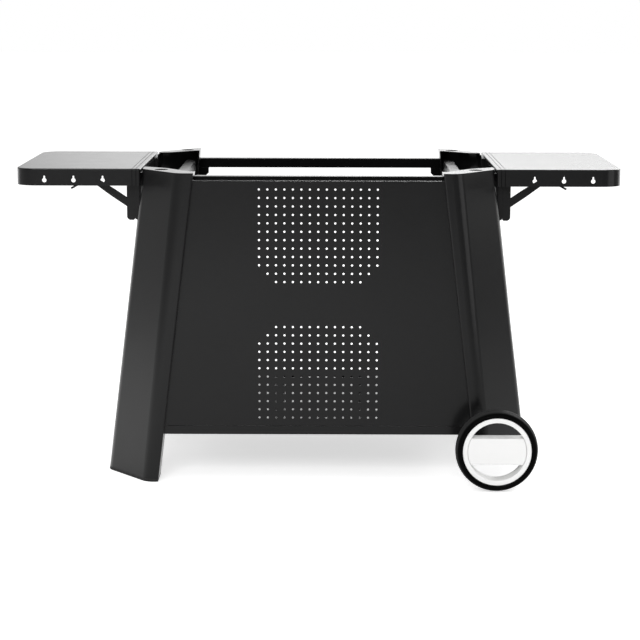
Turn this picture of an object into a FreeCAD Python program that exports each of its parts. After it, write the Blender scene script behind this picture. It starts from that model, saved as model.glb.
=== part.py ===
import FreeCAD, Part
import math
import os

# Outdoor pizza oven table: four splayed folded legs, a perforated front panel, a bottom shelf,
# an open frame at the top that carries the oven, two folding side tables and two wheels.
# +X is to the right, +Y to the rear, +Z up. The origin is on the floor, under the middle.
# All sizes are millimetres. Legs, brackets and wheels are drawn once at positive X and Y
# and mirrored to their places.

V = FreeCAD.Vector

# Legs, folded from sheet
TOP_Z = 743.0
LEG_FACE_Y = 365.0
LEG_SHEET = 2.0
LEG_CREASE_TOP = 330.5
LEG_CREASE_FOOT = 412.0
LEG_STRIP_TOP_FRONT = 36.8
LEG_STRIP_TOP_REAR = 10.5
LEG_STRIP_FOOT = 28.0
LEG_FACE_TOP = 92.2
LEG_FACE_FOOT = 103.0
LEG_FACE_ANGLE = 51.0
LEG_INNER_FLANGE = 75.0
LEG_SIDE_FLANGE = 72.0
LEG_INNER_BEND_R = 4.0
LEG_SOFT_BEND_R_FRONT = 35.0
LEG_SOFT_BEND_R_REAR = 10.0
LEG_OUTER_BEND_R = 40.0
TIGHT_BEND_R = 0.5
LEG_BELOW_AXLE = 32.5

# Plates on the leg tops, with the holes that locate the oven's feet
CAP_T = 2.0
CAP_CORNER_R = 2.0
CAP_BEND_R = 25.0
CAP_INNER_R = 8.0
CAP_INNER_LAND = 10.0
CAP_INNER_DEPTH_FRONT = 48.0
CAP_INNER_DEPTH_REAR = 80.0
CAP_BEND_LAND_FRONT = 58.0
CAP_BEND_LAND_REAR = 30.0
CAP_BEND_DEPTH_FRONT = 132.0
CAP_BEND_DEPTH_REAR = 140.0
CAP_SIDE_DEPTH_FRONT = 173.0
CAP_SIDE_DEPTH_REAR = 144.0
LOCATOR_R = 16.5
LOCATOR_OUTSET_FRONT = 45.1
LOCATOR_INSET_FRONT = 98.0
LOCATOR_OUTSET_REAR = 22.5
LOCATOR_INSET_REAR = 62.0

# Glides under the two long legs
GLIDE_T = 7.0
GLIDE_WIDTH = 5.0
GLIDE_UPSTAND = 15.0

# Bottom shelf
SHELF_Z = 135.0
SHELF_SHEET = 1.5
SHELF_LIP = 20.5

# Front panel, recessed between the front legs
PANEL_RECESS = 15.0
PANEL_SHEET = 1.2
PANEL_TOP_DROP = 19.3
PANEL_RETURN = 20.0
PANEL_TOP_FLANGE = 38.0
SEAM = 1.0
HOLE_R = 2.5
HOLE_PITCH = 20.0
HOLE_COLUMNS = 15
HOLE_ROWS = 12
UPPER_GRID_DROP = 19.7
LOWER_GRID_RISE = 240.8

# Square tubes of the top frame
TUBE = 25.0
TUBE_WALL = 1.5
FRONT_RAIL_DROP = 11.5
REAR_RAIL_INSET = 27.0
REAR_RAIL_DROP = 25.0
SIDE_RAIL_INSET = 0.5
SIDE_RAIL_DROP = 26.0

# Gussets under the rear rail
GUSSET_T = 3.0
GUSSET_DROP = 21.0
GUSSET_REACH = 25.0
GUSSET_CHAMFER = 7.0

# Cradle for the gas bottle on the shelf
CRADLE_Y = -120.0
CRADLE_R = 117.0
CRADLE_T = 2.0
CRADLE_POST = 31.0
CRADLE_HEIGHT = 70.0
CRADLE_UPPER_BAND = 17.5
CRADLE_LOWER_BAND = 4.0
CRADLE_TAB = 22.0

# Side tables, folded trays open below
TABLE_GAP = 4.8
TABLE_LENGTH = 302.5
TABLE_HALF_DEPTH = 252.0
TABLE_SHEET = 1.5
TABLE_RIM = 41.0
TABLE_CORNER_R = 50.0
TABLE_INNER_CORNER_R = 5.0
TABLE_EDGE_R = 3.0
TABLE_HEM = 8.0
TABLE_INNER_HEM = 12.0
TABLE_BEAD_INSETS = (11.0, 20.5)
TABLE_BEAD_WIDTH = 1.2
TABLE_BEAD_DEPTH = 0.5
KEYHOLE_FIRST_INSET = 91.0
KEYHOLE_PITCH = 70.0
KEYHOLES = 3
KEYHOLE_R = 5.2
KEYHOLE_DROP = 28.0
KEYHOLE_SLOT_R = 2.0
KEYHOLE_SLOT_RISE = 9.0

# Folding brackets
BRACKET_INSET = 24.9
FOLD_PIVOT_DROP = 32.0
POST_STANDOFF = 7.3
POST_DEPTH = 19.0
POST_HALF_WIDTH = 9.0
POST_SHEET = 2.0
POST_LENGTH = 96.0
POST_CORNER_R = 9.0
POST_INNER_CORNER_R = 3.5
MOUNT_T = 12.0
MOUNT_PAD_T = 2.0
MOUNT_PAD_HALF_WIDTH = 8.5
MOUNT_NOTCH = 6.0
MOUNT_LIFT = 2.0
MOUNT_CORNER_R = 3.0
MOUNT_HALF_WIDTH = 15.0
MOUNT_RIB_HALF_WIDTH = 8.0
MOUNT_RISE = 19.0
PIN_R = 3.0
PIN_HEAD_R = 5.0
PIN_HEAD_T = 1.8
RUNNING_GAP = 0.05
SIDE_GAP = 0.4
ARM_SHEET = 2.0
ARM_EAR_R = 9.0
ARM_END_GAP = 0.5
ARM_END_INSET = 47.0
ARM_DEPTH = 17.0
ARM_CHEEK_DROP = 2.0
ARM_CHEEK_REACH = 42.0
ARM_TAPER = 28.0
ARM_TIP_DEPTH = 10.0
BRACE_FOOT_OFFSET = 1.5
BRACE_FOOT_DROP = 58.2
BRACE_HEAD_REACH = 120.3
BRACE_HEAD_RISE = 22.0
BRACE_HEAD_R = 5.0
BRACE_NECK = 95.0
BRACE_HALF_HEIGHT = 8.6
BRACE_HALF_WIDTH = 6.0
BRACE_SHEET = 1.5
SLOT_LENGTH = 80.0
SLOT_GAP = 0.3
LEVER_PIVOT_REACH = 96.5
LEVER_PIVOT_RISE = 22.0
LEVER_T = 2.4
LEVER_TAB_WIDTH = 10.0
LEVER_TIP_REACH = 45.5
LEVER_TIP_DROP = 42.5
LEVER_TAIL_ANGLE = 27.0
LEVER_TAIL_T = 4.5
LEVER_BOSS_R = 6.0
BRACKET_SCREW_R = 3.0
BRACKET_SCREW_HEAD_R = 5.0
BRACKET_SCREW_DROPS = (14.0, 80.0)

# Wheels and axle
AXLE_OUTSET = 20.7
WHEEL_R = 97.5
WHEEL_WIDTH = 48.0
WHEEL_OUTSET = 70.0
TYRE_T = 16.5
TYRE_SHOULDER = 8.0
TYRE_SHOULDER_DROP = 2.5
TYRE_BEAD = 3.5
TREAD_GROOVE_Y = 8.0
TREAD_GROOVE = 2.0
RIM_INSET = 2.0
RIM_WALL = 11.5
RIM_CHAMFER = 1.2
BAND_HALF_HEIGHT = 31.3
BAND_RECESS = 2.0
BAND_CHAMFER = 1.0
COVER_T = 9.0
COVER_GAP = 0.8
WEB_WALL = 3.5
WEB_SETBACK = 1.5
BOSS_R = 17.0
AXLE_R = 6.0
AXLE_TUBE_R = 11.0
AXLE_TUBE_BORE_R = 6.2
WASHER_R = 14.0
WASHER_T = 1.5
NUT_R = 10.0
NUT_T = 5.0
END_GAP = 0.3

# Screws and studs
SCREW_R = 2.5
SCREW_HEAD_R = 5.0
SCREW_HEAD_T = 2.5
SCREW_LENGTH = 12.0
HOLE_CLEARANCE = 0.1
PANEL_SCREWS = 3
PANEL_SCREW_FIRST_DROP = 80.7
PANEL_SCREW_PITCH = 210.0
PANEL_SCREW_SETBACK = 10.0
SHELF_SCREW_INSET = 40.0
STUDS_PER_ARM = 2
STUD_SPACING = 168.0
STUD_INSET = 12.0
STUD_LENGTH = 8.0
STUD_NUT_R = 4.5
STUD_NUT_T = 3.0

# Tolerance for finding edges by their place
SAME_PLACE = 0.001


def at_height(top_value, foot_value, z):
    """A value that changes steadily from the foot of a leg to its top."""
    return foot_value + (top_value - foot_value) * z / TOP_Z


def crease_edge(z):
    return at_height(LEG_CREASE_TOP, LEG_CREASE_FOOT, z)


def inner_edge(strip_top, z):
    return crease_edge(z) - at_height(strip_top, LEG_STRIP_FOOT, z)


def outer_edge(z):
    return crease_edge(z) + at_height(LEG_FACE_TOP, LEG_FACE_FOOT, z)


def outer_corner_y(z):
    """Distance of the leg's outer corner from mid-depth."""
    face = at_height(LEG_FACE_TOP, LEG_FACE_FOOT, z)
    return LEG_FACE_Y - face * math.tan(math.radians(LEG_FACE_ANGLE))


# Values worked out from the ones above
PANEL_FACE_Y = LEG_FACE_Y - PANEL_RECESS
PANEL_TOP_Z = TOP_Z - PANEL_TOP_DROP
FRONT_RAIL_Y = PANEL_FACE_Y - PANEL_TOP_FLANGE
FRONT_RAIL_TOP_Z = TOP_Z - FRONT_RAIL_DROP
REAR_RAIL_Y = LEG_FACE_Y - REAR_RAIL_INSET
REAR_RAIL_TOP_Z = TOP_Z - REAR_RAIL_DROP
SIDE_RAIL_X = LEG_CREASE_TOP - SIDE_RAIL_INSET
SIDE_RAIL_TOP_Z = TOP_Z - SIDE_RAIL_DROP
CRADLE_TOP_Z = SHELF_Z + CRADLE_HEIGHT
TABLE_INNER_X = outer_edge(TOP_Z) + TABLE_GAP
TABLE_OUTER_X = TABLE_INNER_X + TABLE_LENGTH
TABLE_RIM_Z = TOP_Z - TABLE_RIM
TABLE_UNDER_Z = TOP_Z - TABLE_SHEET
BRACKET_Y = outer_corner_y(TOP_Z) - LEG_SIDE_FLANGE + BRACKET_INSET
FOLD_PIVOT_Z = TOP_Z - FOLD_PIVOT_DROP
POST_BOTTOM_Z = FOLD_PIVOT_Z - POST_LENGTH
POST_X = outer_edge(POST_BOTTOM_Z) + POST_STANDOFF
PIVOT_X = POST_X + POST_DEPTH / 2
MOUNT_TOP_Z = FOLD_PIVOT_Z + MOUNT_RISE
ARM_HALF_INNER = POST_HALF_WIDTH + SIDE_GAP
ARM_HALF_OUTER = ARM_HALF_INNER + ARM_SHEET
ARM_BOTTOM_Z = TABLE_UNDER_Z - ARM_DEPTH
BRACE_FOOT_X = PIVOT_X + BRACE_FOOT_OFFSET
BRACE_FOOT_Z = FOLD_PIVOT_Z - BRACE_FOOT_DROP
BRACE_HEAD_X = PIVOT_X + BRACE_HEAD_REACH
BRACE_HEAD_Z = FOLD_PIVOT_Z + BRACE_HEAD_RISE
SLOT_R = PIN_R + SLOT_GAP
LEVER_PIVOT_X = PIVOT_X + LEVER_PIVOT_REACH
LEVER_PIVOT_Z = FOLD_PIVOT_Z + LEVER_PIVOT_RISE
LEVER_Y = BRACKET_Y + BRACE_HALF_WIDTH + 2 * SIDE_GAP
BRACKET_SCREW_Z = [FOLD_PIVOT_Z - drop for drop in BRACKET_SCREW_DROPS]
AXLE_Z = WHEEL_R
AXLE_X = crease_edge(AXLE_Z) + AXLE_OUTSET
SHORT_LEG_Z = AXLE_Z - LEG_BELOW_AXLE
WHEEL_MID_Y = LEG_FACE_Y + WHEEL_OUTSET
RIM_R = WHEEL_R - TYRE_T
RIM_HALF_WIDTH = WHEEL_WIDTH / 2 - RIM_INSET
RIM_BORE_R = RIM_R - RIM_WALL
HUB_INNER_Y = WHEEL_MID_Y - RIM_HALF_WIDTH
HUB_OUTER_Y = WHEEL_MID_Y + RIM_HALF_WIDTH
COVER_FRONT_Y = HUB_OUTER_Y - BAND_RECESS
WEB_FRONT_Y = COVER_FRONT_Y - COVER_T
WEB_BACK_Y = HUB_INNER_Y + WEB_SETBACK
TUBE_END_Y = HUB_INNER_Y - END_GAP - WASHER_T
PANEL_SCREW_Z = [
    PANEL_TOP_Z - PANEL_SCREW_FIRST_DROP - index * PANEL_SCREW_PITCH for index in range(PANEL_SCREWS)
]


def box(x0, x1, y0, y1, z0, z1):
    return Part.makeBox(x1 - x0, y1 - y0, z1 - z0, V(x0, y0, z0))


def rod(radius, start, end):
    return Part.makeCylinder(radius, (end - start).Length, start, end - start)


def prism_xz(points, y0, y1):
    """A polygon in the XZ plane, extruded from y0 to y1."""
    corners = [V(x, y0, z) for x, z in points]
    face = Part.Face(Part.makePolygon(corners + corners[:1]))
    return face.extrude(V(0, y1 - y0, 0))


def path_edges(points, radii, lift):
    """Lines through the points, with an arc at each inner point; lift places a 2D point in space."""
    edges = []
    start = lift(*points[0])
    for before, here, after, radius in zip(points, points[1:], points[2:], radii):
        corner = lift(*here)
        back = (lift(*before) - corner).normalize()
        ahead = (lift(*after) - corner).normalize()
        half = back.getAngle(ahead) / 2
        inward = (back + ahead).normalize()
        reach = radius / math.tan(half)
        first = corner + back * reach
        last = corner + ahead * reach
        middle = corner + inward * (radius / math.sin(half) - radius)
        edges.append(Part.LineSegment(start, first).toShape())
        edges.append(Part.Arc(first, middle, last).toShape())
        start = last
    edges.append(Part.LineSegment(start, lift(*points[-1])).toShape())
    return edges


def flat_lift(z):
    return lambda x, y: V(x, y, z)


def side_lift(y):
    return lambda x, z: V(x, y, z)


def offset_path(points, distance):
    """The open path moved to the right of its direction of travel."""
    lines = []
    for (x0, y0), (x1, y1) in zip(points, points[1:]):
        length = math.hypot(x1 - x0, y1 - y0)
        dx = (x1 - x0) / length
        dy = (y1 - y0) / length
        lines.append((x0 + dy * distance, y0 - dx * distance, dx, dy))
    moved = [lines[0][:2]]
    for (px, py, dx, dy), (qx, qy, ex, ey) in zip(lines, lines[1:]):
        along = ((qx - px) * ey - (qy - py) * ex) / (dx * ey - dy * ex)
        moved.append((px + dx * along, py + dy * along))
    dx, dy = lines[-1][2:]
    moved.append((points[-1][0] + dy * distance, points[-1][1] - dx * distance))
    return moved


def sheet_wire(points, radii, near, far, z):
    """Outline of a folded sheet at height z, between two offsets of its path."""
    lift = flat_lift(z)
    outside = offset_path(points, near)
    inside = offset_path(points, far)[::-1]
    near_radii = [max(r - near, TIGHT_BEND_R) for r in radii]
    far_radii = [max(r - far, TIGHT_BEND_R) for r in radii]
    edges = path_edges(outside, near_radii, lift)
    edges.append(Part.LineSegment(lift(*outside[-1]), lift(*inside[0])).toShape())
    edges += path_edges(inside, far_radii[::-1], lift)
    edges.append(Part.LineSegment(lift(*inside[-1]), lift(*outside[0])).toShape())
    return Part.Wire(edges)


def mirror_to(shape, side, end):
    """Mirrors a shape drawn at positive X and Y to the given side (+1 right) and end (+1 rear)."""
    if side < 0:
        shape = shape.mirror(V(0, 0, 0), V(1, 0, 0))
    if end < 0:
        shape = shape.mirror(V(0, 0, 0), V(0, 1, 0))
    return shape


def largest(shape):
    return max(shape.Solids, key=lambda solid: solid.Volume)


def leg_points(strip_top, z):
    """The leg's outline in plan at height z, from inner flange to side flange."""
    inner = inner_edge(strip_top, z)
    outer = outer_edge(z)
    corner_y = outer_corner_y(z)
    return [
        (inner, LEG_FACE_Y - LEG_INNER_FLANGE),
        (inner, LEG_FACE_Y),
        (crease_edge(z), LEG_FACE_Y),
        (outer, corner_y),
        (outer, corner_y - LEG_SIDE_FLANGE),
    ]


def leg_solid(strip_top, soft_r, near, far, z0, z1):
    """A ruled solid between the leg's outlines at two heights."""
    radii = [LEG_INNER_BEND_R, soft_r, LEG_OUTER_BEND_R]
    wires = [sheet_wire(leg_points(strip_top, z), radii, near, far, z) for z in (z0, z1)]
    return Part.makeLoft(wires, True, True)


def leg_style(end):
    """Width of the strip at the top and radius of the soft bend, for a front (-1) or rear (+1) leg."""
    if end < 0:
        return LEG_STRIP_TOP_FRONT, LEG_SOFT_BEND_R_FRONT
    return LEG_STRIP_TOP_REAR, LEG_SOFT_BEND_R_REAR


def screw_normal(strip_top):
    """Unit vector square to the leg's inner flange, pointing away from the middle."""
    slope = (inner_edge(strip_top, 0) - inner_edge(strip_top, TOP_Z)) / TOP_Z
    return V(1, 0, slope).normalize()


def flange_screw(strip_top, y, z, grip):
    """A pan-head screw through the inner flange, its head grip inside the flange's face."""
    axis = screw_normal(strip_top)
    seat = V(inner_edge(strip_top, z), y, z) - axis * grip
    head = rod(SCREW_HEAD_R, seat - axis * SCREW_HEAD_T, seat)
    shank = rod(SCREW_R, seat, seat + axis * SCREW_LENGTH)
    return head.fuse(shank)


def flange_screw_hole(strip_top, y, z):
    axis = screw_normal(strip_top)
    seat = V(inner_edge(strip_top, z), y, z)
    return rod(SCREW_R + HOLE_CLEARANCE, seat - axis * SCREW_LENGTH, seat + axis * SCREW_LENGTH)


def frame_screw_places():
    """Front or rear end, distance of Y from mid-depth, height and grip of each flange screw."""
    panel_y = PANEL_FACE_Y - PANEL_SCREW_SETBACK
    places = [(-1, panel_y, z, PANEL_SHEET) for z in PANEL_SCREW_Z]
    shelf_y = PANEL_FACE_Y - SHELF_SCREW_INSET
    shelf_screw_z = SHELF_Z - SHELF_LIP / 2
    places.append((-1, shelf_y, shelf_screw_z, SHELF_SHEET))
    places.append((1, shelf_y, shelf_screw_z, SHELF_SHEET))
    return places


def bracket_screw_end(z):
    return outer_edge(z) - LEG_SHEET - SCREW_HEAD_T


def make_leg(side, end):
    strip_top, soft_r = leg_style(end)
    foot_z = GLIDE_T if side < 0 else SHORT_LEG_Z
    leg = leg_solid(strip_top, soft_r, 0, LEG_SHEET, foot_z, TOP_Z - CAP_T)
    for z in BRACKET_SCREW_Z:
        start = V(bracket_screw_end(z), BRACKET_Y, z)
        leg = leg.cut(rod(BRACKET_SCREW_R + HOLE_CLEARANCE, start, start + V(LEG_SHEET + SCREW_LENGTH, 0, 0)))
    for place_end, y, z, _ in frame_screw_places():
        if place_end == end:
            leg = leg.cut(flange_screw_hole(strip_top, y, z))
    if side > 0:
        leg = leg.cut(rod(AXLE_TUBE_R + HOLE_CLEARANCE, V(AXLE_X, 0, AXLE_Z), V(AXLE_X, WHEEL_MID_Y, AXLE_Z)))
    return mirror_to(leg, side, end)


def make_leg_cap(side, end):
    strip_top, soft_r = leg_style(end)
    outset, inset = LOCATOR_OUTSET_REAR, LOCATOR_INSET_REAR
    inner_depth, side_depth = CAP_INNER_DEPTH_REAR, CAP_SIDE_DEPTH_REAR
    bend_land, bend_depth = CAP_BEND_LAND_REAR, CAP_BEND_DEPTH_REAR
    if end < 0:
        outset, inset = LOCATOR_OUTSET_FRONT, LOCATOR_INSET_FRONT
        inner_depth, side_depth = CAP_INNER_DEPTH_FRONT, CAP_SIDE_DEPTH_FRONT
        bend_land, bend_depth = CAP_BEND_LAND_FRONT, CAP_BEND_DEPTH_FRONT
    locator = V(LEG_CREASE_TOP + outset, LEG_FACE_Y - inset, TOP_Z - CAP_T)
    inner = inner_edge(strip_top, TOP_Z)
    outer = outer_edge(TOP_Z)
    outline = [
        (inner, LEG_FACE_Y - inner_depth),
        *leg_points(strip_top, TOP_Z)[1:-1],
        (outer, LEG_FACE_Y - side_depth),
        (outer - bend_land, LEG_FACE_Y - bend_depth),
        (inner + CAP_INNER_LAND, LEG_FACE_Y - inner_depth),
        (inner, LEG_FACE_Y - inner_depth),
    ]
    radii = [LEG_INNER_BEND_R, soft_r, LEG_OUTER_BEND_R, CAP_CORNER_R, CAP_BEND_R, CAP_INNER_R]
    wire = Part.Wire(path_edges(outline, radii, flat_lift(TOP_Z - CAP_T)))
    cap = Part.Face(wire).extrude(V(0, 0, CAP_T))
    hole = Part.makeCylinder(LOCATOR_R, CAP_T, locator)
    return mirror_to(cap.cut(hole), side, end)


def make_glide(end):
    strip_top, soft_r = leg_style(end)
    pad = leg_solid(strip_top, soft_r, 0, GLIDE_WIDTH, 0, GLIDE_T)
    upstand = leg_solid(strip_top, soft_r, LEG_SHEET, GLIDE_WIDTH, GLIDE_T, GLIDE_T + GLIDE_UPSTAND)
    return mirror_to(pad.fuse(upstand).removeSplitter(), -1, end)


def wedge_between_legs(strip_top, inset, z0, z1, y0, y1):
    """A block between the inner flanges of a pair of legs, inset from each by a distance."""
    low = inner_edge(strip_top, z0) - inset
    high = inner_edge(strip_top, z1) - inset
    return prism_xz([(-low, z0), (low, z0), (high, z1), (-high, z1)], y0, y1)


def perforation(top_z, short_rows):
    """Hole positions of one grid; short_rows gives the holes left out at each end of a row."""
    holes = []
    for row in range(HOLE_ROWS):
        skip = short_rows.get(row, 0)
        for column in range(skip, HOLE_COLUMNS - skip):
            x = (column - (HOLE_COLUMNS - 1) / 2) * HOLE_PITCH
            holes.append((x, top_z - row * HOLE_PITCH))
    return holes


def make_front_panel():
    strip_top = LEG_STRIP_TOP_FRONT
    bottom = SHELF_Z + SEAM
    back = -PANEL_FACE_Y + PANEL_RETURN
    outside = wedge_between_legs(strip_top, 0, bottom, PANEL_TOP_Z, -PANEL_FACE_Y, back)
    inside = wedge_between_legs(
        strip_top, PANEL_SHEET, bottom + PANEL_SHEET, PANEL_TOP_Z - PANEL_SHEET,
        -PANEL_FACE_Y + PANEL_SHEET, back)
    panel = outside.cut(inside)
    flange = wedge_between_legs(
        strip_top, 0, PANEL_TOP_Z - PANEL_SHEET, PANEL_TOP_Z, back, -FRONT_RAIL_Y)
    panel = panel.fuse(flange).removeSplitter()
    upper = perforation(PANEL_TOP_Z - UPPER_GRID_DROP, {HOLE_ROWS - 2: 1, HOLE_ROWS - 1: 2})
    lower = perforation(SHELF_Z + LOWER_GRID_RISE, {0: 2, 1: 1})
    drills = [
        rod(HOLE_R, V(x, -PANEL_FACE_Y - SEAM, z), V(x, -PANEL_FACE_Y + PANEL_SHEET + SEAM, z))
        for x, z in upper + lower
    ]
    panel = panel.cut(Part.makeCompound(drills))
    screw_y = -PANEL_FACE_Y + PANEL_SCREW_SETBACK
    for z in PANEL_SCREW_Z:
        hole = flange_screw_hole(strip_top, screw_y, z)
        panel = panel.cut(hole).cut(mirror_to(hole, -1, 1))
    return panel


def make_bottom_shelf():
    low = SHELF_Z - SHELF_LIP
    front_end = -LEG_FACE_Y + LEG_INNER_FLANGE
    spans = [
        (LEG_STRIP_TOP_FRONT, -PANEL_FACE_Y, front_end, -PANEL_FACE_Y + SHELF_SHEET, front_end),
        (LEG_STRIP_TOP_REAR, front_end, PANEL_FACE_Y, front_end + SHELF_SHEET, PANEL_FACE_Y - SHELF_SHEET),
    ]
    outside = [wedge_between_legs(inner, 0, low, SHELF_Z, y0, y1) for inner, y0, y1, _, _ in spans]
    inside = [
        wedge_between_legs(inner, SHELF_SHEET, low, SHELF_Z - SHELF_SHEET, y2, y3)
        for inner, _, _, y2, y3 in spans
    ]
    bridge = wedge_between_legs(
        LEG_STRIP_TOP_FRONT, SHELF_SHEET, low, SHELF_Z - SHELF_SHEET, front_end, front_end + SHELF_SHEET)
    shelf = outside[0].fuse(outside[1]).removeSplitter()
    for hollow in inside + [bridge]:
        shelf = shelf.cut(hollow)
    for end, y, z, _ in frame_screw_places():
        if z < SHELF_Z:
            strip_top, _ = leg_style(end)
            for side in (-1, 1):
                shelf = shelf.cut(mirror_to(flange_screw_hole(strip_top, y, z), side, end))
    for side in (-1, 1):
        shelf = shelf.cut(mirror_to(cradle_screw_hole(), side, 1))
    return shelf


def cross_rail(strip_top, top_z, y0):
    """A square tube between a pair of legs, its ends cut to the legs' slope."""
    bottom_z = top_z - TUBE
    outside = wedge_between_legs(strip_top, 0, bottom_z, top_z, y0, y0 + TUBE)
    hollow = wedge_between_legs(
        strip_top, 0, bottom_z + TUBE_WALL, top_z - TUBE_WALL, y0 + TUBE_WALL, y0 + TUBE - TUBE_WALL)
    return outside.cut(hollow)


def make_side_rail(side):
    """A square tube from front leg to rear leg, its ends cut to the inside of the folded legs."""
    outside = box(
        SIDE_RAIL_X, SIDE_RAIL_X + TUBE, -LEG_FACE_Y, LEG_FACE_Y, SIDE_RAIL_TOP_Z - TUBE, SIDE_RAIL_TOP_Z)
    hollow = box(
        SIDE_RAIL_X + TUBE_WALL, SIDE_RAIL_X + TUBE - TUBE_WALL, -LEG_FACE_Y, LEG_FACE_Y,
        SIDE_RAIL_TOP_Z - TUBE + TUBE_WALL, SIDE_RAIL_TOP_Z - TUBE_WALL)
    rail = outside
    for end in (-1, 1):
        strip_top, soft_r = leg_style(end)
        skin = leg_solid(strip_top, soft_r, 0, LEG_SHEET, 0, TOP_Z)
        rail = largest(rail.cut(mirror_to(skin, 1, end)))
    return mirror_to(rail.cut(hollow), side, 1)


def make_rear_gussets():
    top = REAR_RAIL_TOP_Z - TUBE
    low = top - GUSSET_DROP
    edge_top = inner_edge(LEG_STRIP_TOP_REAR, top)
    edge_low = inner_edge(LEG_STRIP_TOP_REAR, low)
    tip = edge_top - GUSSET_REACH
    outline = [
        (edge_top, top), (tip, top), (tip, low + GUSSET_CHAMFER),
        (tip + GUSSET_CHAMFER, low), (edge_low, low),
    ]
    plate = prism_xz(outline, REAR_RAIL_Y, REAR_RAIL_Y + GUSSET_T)
    seat_edge = inner_edge(LEG_STRIP_TOP_REAR, top - GUSSET_T)
    seat = prism_xz(
        [(edge_top, top), (tip, top), (tip, top - GUSSET_T), (seat_edge, top - GUSSET_T)],
        REAR_RAIL_Y + GUSSET_T, REAR_RAIL_Y + TUBE)
    gusset = plate.fuse(seat).removeSplitter()
    return Part.makeCompound([mirror_to(gusset, side, 1) for side in (-1, 1)])


def half_ring(z0, z1, end):
    outer = Part.makeCylinder(CRADLE_R, z1 - z0, V(0, CRADLE_Y, z0))
    inner = Part.makeCylinder(CRADLE_R - CRADLE_T, z1 - z0, V(0, CRADLE_Y, z0))
    keep = box(-CRADLE_R, CRADLE_R, CRADLE_Y, CRADLE_Y + CRADLE_R, z0, z1)
    if end < 0:
        keep = box(-CRADLE_R, CRADLE_R, CRADLE_Y - CRADLE_R, CRADLE_Y, z0, z1)
    return outer.cut(inner).common(keep)


def cradle_screw_spot():
    return V(CRADLE_R + CRADLE_TAB / 2, CRADLE_Y + CRADLE_TAB / 2, SHELF_Z + CRADLE_T)


def cradle_screw_hole():
    reach = V(0, 0, SHELF_LIP)
    return rod(SCREW_R + HOLE_CLEARANCE, cradle_screw_spot() - reach, cradle_screw_spot() + reach)


def make_bottle_cradle():
    """Ring for a gas bottle: low band in front, uprights at the sides, higher band behind."""
    cradle = half_ring(SHELF_Z, SHELF_Z + CRADLE_LOWER_BAND, -1)
    cradle = cradle.fuse(half_ring(CRADLE_TOP_Z - CRADLE_UPPER_BAND, CRADLE_TOP_Z, 1))
    uprights = half_ring(SHELF_Z, CRADLE_TOP_Z, 1)
    gap = CRADLE_R - CRADLE_POST
    uprights = uprights.cut(box(-gap, gap, CRADLE_Y, CRADLE_Y + CRADLE_R, SHELF_Z, CRADLE_TOP_Z))
    cradle = cradle.fuse(uprights)
    for side in (-1, 1):
        x0, x1 = sorted((side * (CRADLE_R - CRADLE_T), side * (CRADLE_R + CRADLE_TAB)))
        tab = box(x0, x1, CRADLE_Y, CRADLE_Y + CRADLE_TAB, SHELF_Z, SHELF_Z + CRADLE_T)
        room = Part.makeCylinder(CRADLE_R - CRADLE_T, CRADLE_T, V(0, CRADLE_Y, SHELF_Z))
        cradle = cradle.fuse(tab.cut(room)).cut(mirror_to(cradle_screw_hole(), side, 1))
    return cradle.removeSplitter()


def table_prism(inset, z0, z1):
    inner = TABLE_INNER_X + inset
    outer = TABLE_OUTER_X - inset
    half = TABLE_HALF_DEPTH - inset
    corners = [(inner, 0), (inner, half), (outer, half), (outer, -half), (inner, -half), (inner, 0)]
    inner_r = max(TABLE_INNER_CORNER_R - inset, 0.5)
    outer_r = TABLE_CORNER_R - inset
    wire = Part.Wire(path_edges(corners, [inner_r, outer_r, outer_r, inner_r], flat_lift(z0)))
    return Part.Face(wire).extrude(V(0, 0, z1 - z0))


def round_top(solid, z, radius):
    edges = [edge for edge in solid.Edges if min(v.Z for v in edge.Vertexes) > z - SAME_PLACE]
    return solid.makeFillet(radius, edges)


def keyhole(x):
    z = TOP_Z - KEYHOLE_DROP
    slot_z = z + KEYHOLE_SLOT_RISE
    y0 = -TABLE_HALF_DEPTH - TABLE_SHEET
    y1 = -TABLE_HALF_DEPTH + 2 * TABLE_SHEET
    cutter = rod(KEYHOLE_R, V(x, y0, z), V(x, y1, z))
    cutter = cutter.fuse(rod(KEYHOLE_SLOT_R, V(x, y0, slot_z), V(x, y1, slot_z)))
    return cutter.fuse(box(x - KEYHOLE_SLOT_R, x + KEYHOLE_SLOT_R, y0, y1, z, slot_z))


def make_side_table(side):
    outside = round_top(table_prism(0, TABLE_RIM_Z, TOP_Z), TOP_Z, TABLE_EDGE_R)
    inside = round_top(
        table_prism(TABLE_SHEET, TABLE_RIM_Z, TABLE_UNDER_Z), TABLE_UNDER_Z, TABLE_EDGE_R - TABLE_SHEET)
    table = outside.cut(inside)
    ring = table_prism(0, TABLE_RIM_Z, TABLE_RIM_Z + TABLE_SHEET).cut(
        table_prism(TABLE_HEM, TABLE_RIM_Z, TABLE_RIM_Z + TABLE_SHEET))
    hem_start = POST_X + POST_DEPTH
    hem = ring.common(box(
        hem_start, TABLE_OUTER_X, -TABLE_HALF_DEPTH, TABLE_HALF_DEPTH,
        TABLE_RIM_Z, TABLE_RIM_Z + TABLE_SHEET))
    table = table.fuse(hem).removeSplitter()
    reach = TABLE_HALF_DEPTH - TABLE_INNER_CORNER_R
    table = table.cut(box(
        TABLE_INNER_X, TABLE_INNER_X + TABLE_SHEET, -reach, reach, TABLE_RIM_Z, TOP_Z - TABLE_INNER_HEM))
    for inset in TABLE_BEAD_INSETS:
        x = TABLE_INNER_X + inset - TABLE_BEAD_WIDTH / 2
        table = table.cut(box(
            x, x + TABLE_BEAD_WIDTH, -TABLE_HALF_DEPTH, TABLE_HALF_DEPTH, TOP_Z - TABLE_BEAD_DEPTH, TOP_Z))
    for index in range(KEYHOLES):
        table = table.cut(keyhole(TABLE_INNER_X + KEYHOLE_FIRST_INSET + index * KEYHOLE_PITCH))
    return mirror_to(table, side, 1)


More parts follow.
